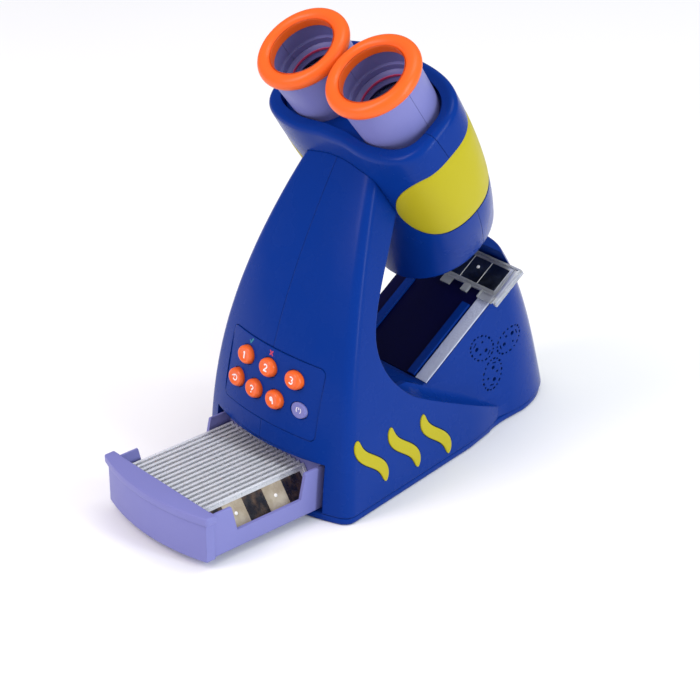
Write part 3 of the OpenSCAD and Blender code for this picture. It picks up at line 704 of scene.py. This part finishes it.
INLAY_LEVELS = [(-1.2, -0.1), (0.15, -0.1), (0.5, -0.25), (0.68, -0.7), (0.76, -1.5), (0.78, -2.6)]
for k in range(3):
    piece = inlay_solid(f"right_inlay_{k + 1}", k, INLAY_LEVELS)
    done(mirrored(piece, f"left_inlay_{k + 1}"), "housing", ["left_inlays"])
    done(piece, "housing", ["right_inlays"], sharp=50)


# ================= base plate =================
def base_ring(z, inset):
    """The base plate's outline at z: the skirt's front and sides, eased into the drum's round back."""
    half = skirt_ring((FRONT_Y, PLATE_TOP), inset, 40, 20, 14)[:-14]
    front = [(p[0], p[1]) for p in half]
    rear = [(p[0], p[1]) for p in drum_ring((REAR_Y + PLATE_SET_BACK, PLATE_TOP), inset)[2:]]
    drum_x = DRUM_HALF_W - inset
    start_y = front[-1][1]
    tried = [40 + i * 0.5 for i in range(60)]
    join_y = next(y for y in tried if side_x(y, PLATE_TOP, inset) < drum_x + 7)
    side_ys = [start_y + (join_y - start_y) * i / 6 for i in range(1, 7)]
    side = [(side_x(y, PLATE_TOP, inset), y) for y in side_ys]
    ease = [quad(side[-1], (drum_x + 0.2, join_y + 8), rear[6], i / 8) for i in range(1, 8)]
    right_half = front + side + ease + rear[6:]
    loop = right_half + [(-p[0], p[1]) for p in right_half[-2:0:-1]]
    return [(*p, z) for p in loop]


PLATE_PROFILE = [(PLATE_LOW, 1.2), (PLATE_LOW + 0.5, 0.5), (PLATE_LOW + 1, 0.25), (PLATE_TOP - 1, 0.25),
                 (PLATE_TOP - 0.5, 0.45), (PLATE_TOP - 0.3, 1.0), (PLATE_TOP, 1.2)]
plate = loft("base_plate_shell", [base_ring(z, inset) for z, inset in PLATE_PROFILE])
DOOR_GAP = 0.3
door_low, door_high = box_mm("battery_door")
door_hole = block("door_hole", (door_low.x - DOOR_GAP, door_low.y - DOOR_GAP, -2),
                  (door_high.x + DOOR_GAP, door_high.y + DOOR_GAP, 9))
holes = [door_hole, block("floor_recess", (-35, -93, PLATE_TOP - 1.2), (35, -15, PLATE_TOP + 2))]
FEET = [(44, -97), (-44, -97), (12, 103), (-12, 103)]
SCREWS = [(59.5, -86), (-59.5, -86), (46, 2), (-46, 2), (27.5, 88.5), (-27.5, 88.5)]
FOOT_HOLE = [(0, -1), (6, -1), (6, 1.25), (0, 1.25)]
SCREW_HOLE = [(0, -1), (3.3, -1), (3.3, 2.25), (1.6, 2.25), (1.6, 9), (0, 9)]
for x, y in FEET:
    holes.append(revolve("foot_hole", FOOT_HOLE, Matrix.Translation((x, y, 0)), 48))
for x, y in SCREWS:
    holes.append(revolve("screw_hole", SCREW_HOLE, Matrix.Translation((x, y, 0)), 48))
done(cut(plate, *holes), "housing", ["base_plate"])

# ================= head =================
TUBE_R, TUBE_TOP_R, TUBE_BORE = 24.6, 26, 21


def bar_profile(r, low, high):
    """Half the outline of a plain round bar."""
    return [(0, low), (r, low), (r, high), (0, high)]


head = head_solid("head_front")
deck_cut = loft("deck_cut", [head_ring(DECK_H, 8.2, at=h) for h in (DECK_H + 2.4, RIM_H - 3)])
wells = [revolve("well", bar_profile(TUBE_BORE, -60, 4), eyepiece(s, DECK_H)) for s in (-1, 1)]
nose_at = optic(NOSE_H) @ Matrix.Translation((0, NOSE_V, 0))
nose_hole = revolve("nose_hole", bar_profile(17, -3, 22), nose_at)
cut(head, deck_cut, grip_solid("grip_cut", 1.7, -6, 0.3), nose_hole, *wells)
rear = head.copy()
rear.data = head.data.copy()
rear.name = "head_rear"
scene.collection.objects.link(rear)
cut(head, block("split", (-100, SPLIT_V - 0.1, -120), (100, 200, 120), optic(80)))
cut(rear, block("split", (-100, -200, -120), (100, SPLIT_V + 0.1, 120), optic(80)))
done(head, "housing", ["head_front_shell"])
done(rear, "housing", ["head_rear_shell"])
done(grip_solid("head_grip_cover", 1.6, -0.3, 0, 0.7), "housing", ["head_grip"], sharp=50)

deck_rings = [(DECK_H + 2.2, 8.5), (DECK_H + 0.5, 8.5), (DECK_H + 0.15, 8.7), (DECK_H, 9.2)]
deck = loft("eyepiece_deck_plate", [head_ring(DECK_H, inset, at=h) for h, inset in deck_rings])
bores = [revolve("bore", bar_profile(TUBE_BORE, -8, 8), eyepiece(s, DECK_H)) for s in (-1, 1)]
done(cut(deck, *bores), "housing", ["eyepiece_deck"])

# ================= eyepieces =================
CUP_R, CUP_THICK_R = 24.9, 4.7
TUBE_TOP = DECK_H - 3
TUBE_PROFILE = [(TUBE_BORE, 0.01), (TUBE_R + 0.1, 0.01), (TUBE_R, 0.6)]
TUBE_PROFILE += [(TUBE_R + (TUBE_TOP_R - TUBE_R) * i / 8, TUBE_TOP * i / 8) for i in range(1, 9)]
TUBE_PROFILE += [(22.5, TUBE_TOP), (22.5, 23.2), (22.1, 22.6), (TUBE_BORE, 22.4)]
CUP_PROFILE = [(20.35, -2.9), (20.35, 2.9)]
CUP_PROFILE += arc(CUP_R, 0, CUP_THICK_R, CUP_THICK_R, 160, -140, 50)
CUP_PROFILE += [(22.2, -2.98)]
LENS_H = 25
SPLIT_TURN = 0.16
FUNNEL = [(20.9, 0.2), (20.9, 6.8), (19.9, 6.3), (18.9, 5.6), (18.2, 4.8), (18.2, 3.9), (16.9, 0.2)]
RING_LINE = [(17.6, 3.7), (18.15, 3.7), (18.15, 5.0), (17.9, 5.3), (17.6, 5.0)]
for side, s in (("left", -1), ("right", 1)):
    place = eyepiece(s, DECK_H)
    for half, start in (("front", 180), ("rear", 0)):
        name = f"{side}_tube_{half}_shell"
        tube = revolve(name, TUBE_PROFILE, place, 96, start + SPLIT_TURN, 180 - 2 * SPLIT_TURN)
        done(tube, "housing", [f"{side}_tube_{half}"])
    cup = revolve(f"{side}_eyecup_ring", CUP_PROFILE, eyepiece(s), 144)
    done(cup, "housing", [f"{side}_eyecup"], sharp=60)
    inner = eyepiece(s, LENS_H)
    funnel = revolve(f"{side}_lens_funnel", FUNNEL, inner)
    done(funnel, "housing", [f"{side}_lens_retainer"], slot="lavender_plastic")
    done(revolve(f"{side}_lens_line", RING_LINE, inner), "housing", slot="rose_plastic")

# ================= control panel =================
SURFACE = -0.4
ROW_Z = (83, 66.4)
BUTTON_R, TOP_R, DISH_DEPTH = 6.65, 4.6, 0.55
WELL_GAP = 0.4
BUTTONS = ["button_1", "button_2", "button_3"]
BUTTONS += ["button_repeat", "button_hint", "button_quiz", "button_power"]


def panel_drop(x):
    """The height of the panel's bowed face at x."""
    return SURFACE - (FRONT_R - math.sqrt(FRONT_R ** 2 - x * x))


def oval(node):
    """The buttons are oval, wider than they are tall."""
    return Matrix.Diagonal((0.93, 0.72, 1, 1) if node == "button_power" else (1, 0.86, 1, 1))


def up_panel(z):
    """How far up the panel the height z is."""
    return (z - PANEL_AT[1]) / math.cos(PANEL_TILT)


def button_place(node):
    low, high = box_mm(node)
    row = 0 if node in BUTTONS[:3] else 1
    return (low.x + high.x) / 2, up_panel(ROW_Z[row])


slab_rings = []
for i in range(57):
    x = -44 + 88 * i / 56
    top = panel_drop(x)
    slab_rings.append([(x, -30, top - 2.2), (x, -30, top), (x, 30, top), (x, 30, top - 2.2)])
panel = loft("control_panel_face", [[ON_PANEL @ Vector(p) for p in r] for r in slab_rings])
common(panel, prism("outline", rounded_outline(PANEL_HALF_W, PANEL_HALF_H, 4), -20, 20, ON_PANEL))
wells = []
for node in BUTTONS:
    x, y = button_place(node)
    place = ON_PANEL @ Matrix.Translation((x, y, 0)) @ oval(node)
    wells.append(revolve("well", bar_profile(BUTTON_R + WELL_GAP, -20, 10), place, 72))
done(cut(panel, *wells), "housing", ["control_panel"])


def button_profile(top, flat):
    """Half the outline of a button, from its foot to the middle of its dished top, in its own frame."""
    foot = -9.2
    points = [(0, foot), (BUTTON_R + 0.8, foot), (BUTTON_R + 0.8, foot + 1), (BUTTON_R, foot + 1)]
    if flat:
        points += [(BUTTON_R, top - 0.4), (BUTTON_R - 0.15, top - 0.12), (BUTTON_R - 0.5, top)]
        points += [(r, dish(r, top)) for r in (5.2, 4.2, 3, 1.5)]
    else:
        low = top - 2.6
        points += arc(TOP_R, low, BUTTON_R - TOP_R, top - low, 0, 81, 9)
        points += [(r, dish(r, top)) for r in (TOP_R, 4.2, 3.6, 2.8, 1.8, 0.9)]
    return points + [(0, dish(0, top))]


def dish(r, top):
    """The height of a button's hollowed top at the radius r."""
    return top - DISH_DEPTH * (1 - min(1, r / TOP_R) ** 2)


def stroke(points, width, height_at, thick=0.14):
    """A raised line along points, lying on the surface whose height is height_at(x, y)."""
    sides = []
    for i, p in enumerate(points):
        a, b = points[max(0, i - 1)], points[min(len(points) - 1, i + 1)]
        d = Vector((b[0] - a[0], b[1] - a[1])).normalized()
        n = Vector((-d.y, d.x)) * width / 2
        sides.append(((p[0] + n.x, p[1] + n.y), (p[0] - n.x, p[1] - n.y)))
    verts, faces = [], []
    for left_p, right_p in sides:
        for q in (left_p, right_p):
            z = height_at(*q)
            verts += [(*q, z + thick / 2), (*q, z - thick)]
    for i in range(len(sides) - 1):
        a, b = 4 * i, 4 * (i + 1)
        faces += [[a, b, b + 2, a + 2], [a + 1, a + 3, b + 3, b + 1]]
        faces += [[a, a + 1, b + 1, b], [a + 2, b + 2, b + 3, a + 3]]
    end = 4 * (len(sides) - 1)
    faces += [[0, 2, 3, 1], [end, end + 1, end + 3, end + 2]]
    return verts, faces


def strokes(name, lines, height_at, place, thick=0.14):
    """One object from (points, width) lines."""
    verts, faces = [], []
    for points, width in lines:
        v, f = stroke(points, width, height_at, thick)
        faces += [[i + len(verts) for i in face] for face in f]
        verts += v
    return make(name, [place @ Vector(v) for v in verts], faces)


# each button's mark, as (points, width) lines about the middle of its top
SYMBOLS = {
    "button_1": [([(-0.9, 1.2), (0.1, 2.1)], 0.8),
                 ([(0.15, 2.3), (0.15, -2.2)], 1.0)],
    "button_2": [(arc(0, 1.0, 1.25, 1.15, 170, -40) + [(-0.2, -0.9), (-1.3, -1.8)], 0.9),
                 ([(-1.5, -1.9), (1.6, -1.9)], 0.9)],
    "button_3": [(arc(-0.2, 1.05, 1.3, 1.0, 150, -85), 0.85),
                 (arc(-0.2, -1.0, 1.45, 1.15, 85, -150), 0.85)],
    "button_repeat": [(arc(0.2, 0, 1.7, 1.7, 150, -150, 24), 0.75),
                      ([(-2.5, 0.4), (-1.3, 1.3), (-0.6, 0.1)], 0.7)],
    "button_hint": [(arc(0, 0.9, 1.2, 1.1, 165, -80) + [(0.0, -0.9)], 0.85),
                    ([(-0.05, -1.7), (0.0, -2.4)], 0.95)],
    "button_quiz": [(arc(-0.6, 0.5, 0.8, 0.8, 0, 350, 20), 1.2),
                    ([(0.3, 0.5), (0.8, -0.6), (1.5, -2.1)], 1.1)],
    "button_power": [(arc(0, 0, 2.0, 2.0, 60, -240, 24), 0.6),
                     ([(0, 2.3), (0, 0.3)], 0.6)],
}
for node in BUTTONS:
    x, y = button_place(node)
    power = node == "button_power"
    top = panel_drop(x) - SURFACE + (0.4 if power else 3.2)
    place = ON_PANEL @ Matrix.Translation((x, y, 0))
    cap = revolve(node + "_cap", button_profile(top, power), place @ oval(node), 72)
    done(cap, node, [node], sharp=50)
    mark = strokes(node + "_mark", SYMBOLS[node], lambda a, b: dish(math.hypot(a, b), top), place)
    done(mark, node, slot=SLOT_OF[node], material=white_ink)

# the marks printed above buttons 1 and 2: their lines, x, height and ink
MARKS = {
    "check_mark": ([([(-1.6, 0.2), (-0.5, -1.4), (1.8, 2.0)], 1.0)], -20.2, 92.0, green_ink),
    "cross_mark": ([([(-1.4, -1.5), (1.4, 1.5)], 0.9),
                    ([(-1.4, 1.5), (1.4, -1.5)], 0.9)], 0.0, 91.8, red_ink),
}
for name, (lines, x, z, ink) in MARKS.items():
    y = up_panel(z)
    lines = [([(a + x, b + y) for a, b in points], width) for points, width in lines]
    mark = strokes(name, lines, lambda a, b: panel_drop(a), ON_PANEL, 0.1)
    done(mark, "housing", slot="blue_plastic", material=ink)

# ================= stage =================
SLIDE_V, SLIDE_LIFT = -7, 0.62
SLIDE_LEN, SLIDE_W, TAB_LEN = 88, 23, 5
CELL, CELL_HALF_W, CELL_GAP = 15, 8.2, 0.2
slide_at = optic(STAGE_H) @ Matrix.Translation((0, SLIDE_V, SLIDE_LIFT))


def slide_body(name, place):
    """A picture slide's clear frame: a thin plate, a raised border round the film, end bars and tabs."""
    a, b = SLIDE_LEN / 2, SLIDE_W / 2
    body = block(name, (-a, -b, 0.2), (a, b, 1.3), place)
    parts = [block("border", (-40, -10, 0.4), (40, 10, 2.3), place),
             block("rim_back", (-a, b - 1.2, 0.3), (a, b, 3.2), place)]

    def tab(kind, x0, x1, low, high):
        parts.append(block(kind, (x0, -b - TAB_LEN, low), (x1, -b + 1, high), place))

    for s in (-1, 1):
        x = s * (a + 0.6)
        parts.append(block("bar", (x - 1.15, -b - TAB_LEN + 0.1, -0.5), (x + 1.15, b - 0.02, 3.15), place))
        tab("tab", s * 35 - 6, s * 35 + 6, 0.15, 1.35)
        tab("tab_rim", s * 35 - 6, s * 35 - 5, 0.3, 2.3)
        tab("tab_rim", s * 35 + 5, s * 35 + 6, 0.3, 2.3)
        tab("tab", s * 17 - 2.5, s * 17 + 2.5, 0.15, 2.2)
    tab("tab", -4, 4, 0.15, 1.35)
    parts.append(block("ledge", (-a, -b, 0.3), (a, -b + 1.0, 2.1), place))
    join(body, *parts)
    film_seat = block("film_seat", (-38, -8.5, 1.25), (38, 8.5, 5), place)
    gate = block("gate", (-37, -7.5, -2), (37, 7.5, 5), place)
    cut(body, film_seat, gate)
    return rounded(body, 0.16, 2, 40)


def film_cell(name, i, gap, low, high, place):
    """Picture i of a film, counted from its middle, with gap left at each end."""
    half = CELL / 2 - gap
    return block(name, (i * CELL - half, -CELL_HALF_W, low), (i * CELL + half, CELL_HALF_W, high), place)


done(slide_body("slide_frame_clear", slide_at), "slide", ["slide_frame"])
cells = [film_cell(f"cell_{i}", i, CELL_GAP, 1.27, 1.7, slide_at) for i in range(-2, 3)]
film = join(cells[0], *cells[1:])
film.name = "slide_film_cells"
done(film, "slide", ["slide_film"], material=film_stage)
for i in range(-2, 2):
    x = (i + 0.5) * CELL
    low, high = (x - 0.16, -CELL_HALF_W, 1.3), (x + 0.16, CELL_HALF_W, 1.85)
    divider = block(f"slide_divider_{i + 3}", low, high, slide_at)
    done(divider, "slide", slot="slide_clear", material=white_ink)
SLIDE_DOT = [(0, -0.2), (1.15, -0.2), (1.15, 0.1), (0.9, 0.45), (0.5, 0.6), (0, 0.65)]
for i in (-1, 1):
    dot = revolve(f"slide_dot_{i + 2}", SLIDE_DOT, slide_at @ Matrix.Translation((i * CELL, 2.0, 1.7)), 32)
    done(dot, "slide", slot="slide_clear", material=white_ink, sharp=60)

# ================= tray =================
TRAY_OUT = 88
TRAY_FRONT = -101 - TRAY_OUT
TRAY_Z = box_mm("tray")[0].z
TRAY_H, TRAY_W, TRAY_D, TRAY_WALL = 30.5, 91, 89, 2
TRAY_BACK, TRAY_TOP = TRAY_FRONT + TRAY_D, TRAY_Z + TRAY_H


def tray_outline(dy, half=49, n=28):
    """The tray's bowed face seen from above, moved by dy."""
    xs = [half * i / n for i in range(-n, n + 1)]
    bow = [(x, FRONT_Y + 5.2 + front_dy(x) + dy - TRAY_OUT) for x in xs]
    return bow + [(half, TRAY_FRONT + 3), (-half, TRAY_FRONT + 3)]


tray = block("tray_body", (-TRAY_W / 2, TRAY_FRONT, TRAY_Z), (TRAY_W / 2, TRAY_BACK, TRAY_TOP - 2))
rounded(tray, 0.9, 3, 60)
face = prism("face", tray_outline(0, 46.5), TRAY_Z, TRAY_TOP - 4.2)
lip = prism("lip", tray_outline(-1.8), TRAY_TOP - 5.2, TRAY_TOP)
rounded(lip, 0.9, 3, 50)
latch = block("latch", (-5, TRAY_BACK - 0.5, TRAY_TOP - 9), (5, TRAY_BACK + 1.6, TRAY_TOP - 4))
join(tray, face, lip, latch)
mid_y = TRAY_FRONT + TRAY_D / 2
notch = [(-60, mid_y + a, TRAY_Z + 12 + b) for a, b in ((-24, 0), (24, 0), (31, 30), (-31, 30))]
notch_cut = loft("notch", [notch, [(60, p[1], p[2]) for p in notch]])
cavity = block("cavity", (-TRAY_W / 2 + TRAY_WALL, TRAY_FRONT + TRAY_WALL, TRAY_Z + TRAY_WALL),
               (TRAY_W / 2 - TRAY_WALL, TRAY_BACK - TRAY_WALL, TRAY_Z + 60))
cut(tray, cavity, notch_cut)
done(tray, "tray", ["tray"])

COUNT, PITCH, LEAN = 17, 4.2, math.radians(38)
STORED_A, STORED_B, STORED_T = 42, 12, 2
RIM_A, RIM_B = STORED_A - 1.6, STORED_B - 1.4


def stored_place(i):
    """Where stored slide i leans in its row."""
    spot = Matrix.Translation(((i - (COUNT - 1) / 2) * PITCH, mid_y, TRAY_Z + TRAY_WALL + 10.6))
    return spot @ Matrix.Rotation(math.pi / 2 - LEAN, 4, "Y") @ Matrix.Rotation(math.pi / 2, 4, "Z")


def gather(name, parts):
    """Joins loose pieces into one object."""
    bm = bmesh.new()
    for p in parts:
        bm.from_mesh(p.data)
        bpy.data.objects.remove(p)
    me = bpy.data.meshes.new(name)
    bm.to_mesh(me)
    bm.free()
    o = bpy.data.objects.new(name, me)
    scene.collection.objects.link(o)
    return o


def stored_frame(place):
    """A stored slide's clear sheet with a raised rim."""
    sheet = block("stored", (-STORED_A, -STORED_B, 0), (STORED_A, STORED_B, STORED_T / 2), place)
    join(sheet,
         block("rim", (-STORED_A, RIM_B, 0.2), (STORED_A, STORED_B, STORED_T), place),
         block("rim", (-STORED_A, -STORED_B, 0.2), (STORED_A, -RIM_B, STORED_T), place),
         block("rim", (-STORED_A, -STORED_B, 0.2), (-RIM_A, STORED_B, STORED_T), place),
         block("rim", (RIM_A, -STORED_B, 0.2), (STORED_A, STORED_B, STORED_T), place))
    return rounded(sheet, 0.15, 2, 40)


STORED_DOT = [(0, -0.1), (1.2, -0.1), (1.1, 0.2), (0.6, 0.35), (0, 0.4)]
frames, pictures, spacers, dots = [], [], [], []
for i in range(COUNT):
    place = stored_place(i) @ Matrix.Translation((0, 0, -STORED_T / 2))
    frames.append(stored_frame(place))
    for j in range(-2, 3):
        cell = film_cell("cell", j, 0.1, 0.9, 1.3, place)
        (spacers if j % 2 else pictures).append(cell)
        if j % 2:
            spot = place @ Matrix.Translation((j * CELL, 1.0, 1.3))
            dots.append(revolve("dot", STORED_DOT, spot, 24))
done(gather("stored_slide_frames", frames), "tray", ["stored_slides"], material=slide_stored)
done(gather("stored_film_pictures", pictures), "tray", ["stored_films"])
done(gather("stored_film_spacers", spacers), "tray", slot="film", material=film_spacer)
done(gather("stored_film_dots", dots), "tray", slot="slide_clear", material=white_ink, sharp=60)

# ================= floor, light and camera =================
FLOOR_HALF = 6000
floor_mat = Shade("floor_paper")
paper = floor_mat.blend(floor_mat.noise(3, 2), (0.90, 0.90, 0.90), (0.93, 0.93, 0.93))
floor_mat.link(paper, floor_mat.bsdf.inputs["Base Color"])
floor_mat.set(Roughness=0.9)
corners = [(x * FLOOR_HALF, y * FLOOR_HALF, 0) for x, y in ((-1, -1), (1, -1), (1, 1), (-1, 1))]
sweep = make("floor", corners, [[0, 1, 2, 3]])
sweep.data.materials.append(floor_mat.mat)

# the sky is bright for the floor and the object, and dim where a glossy surface mirrors it
SKY_COLOUR, SKY_LIGHT, SKY_MIRRORED = (0.96, 0.97, 1.0, 1), 0.8, 0.12
world = bpy.data.worlds.new("studio")
world.use_nodes = True
sky = world.node_tree.nodes["Background"]
sky.inputs["Color"].default_value = SKY_COLOUR
rays = world.node_tree.nodes.new("ShaderNodeLightPath")
dim = world.node_tree.nodes.new("ShaderNodeMapRange")
dim.inputs["To Min"].default_value, dim.inputs["To Max"].default_value = SKY_LIGHT, SKY_MIRRORED
world.node_tree.links.new(rays.outputs["Is Glossy Ray"], dim.inputs["Value"])
world.node_tree.links.new(dim.outputs["Result"], sky.inputs["Strength"])
scene.world = world


def bearing(azimuth, elevation):
    """The direction from the object to something seen at an azimuth and elevation in degrees."""
    a, e = math.radians(azimuth), math.radians(elevation)
    return Vector((math.sin(a) * math.cos(e), -math.cos(a) * math.cos(e), math.sin(e)))


def softbox(name, azimuth, elevation, distance, width, height, power, tint=(1, 1, 1)):
    """An area light aimed at the object, placed by its bearing round it."""
    back = bearing(azimuth, elevation)
    data = bpy.data.lights.new(name, "AREA")
    data.shape, data.size, data.size_y, data.energy, data.color = "RECTANGLE", width, height, power, tint
    lamp = bpy.data.objects.new(name, data)
    lamp.location = Vector((0, 0, 0.12)) + back * distance
    lamp.rotation_euler = (-back).to_track_quat("-Z", "Y").to_euler()
    scene.collection.objects.link(lamp)


softbox("key", -12, 40, 1.7, 0.5, 1.1, 12, (1.0, 0.86, 0.95))
softbox("fill", 100, 16, 1.8, 0.3, 1.6, 19, (0.88, 0.97, 1.0))
softbox("top", 150, 75, 1.8, 0.8, 0.8, 7)

TARGET = Vector((0, -0.04108, 0.07186))
DISTANCE = 1.327
camera_data = bpy.data.cameras.new("camera")
camera_data.lens, camera_data.sensor_width = 111.3, 36
camera_data.clip_start, camera_data.clip_end = 0.05, 30
camera = bpy.data.objects.new("camera", camera_data)
back = bearing(48.26, 27.82)
camera.location = TARGET + back * DISTANCE
camera.rotation_euler = (-back).to_track_quat("-Z", "Y").to_euler()
scene.collection.objects.link(camera)
scene.camera = camera
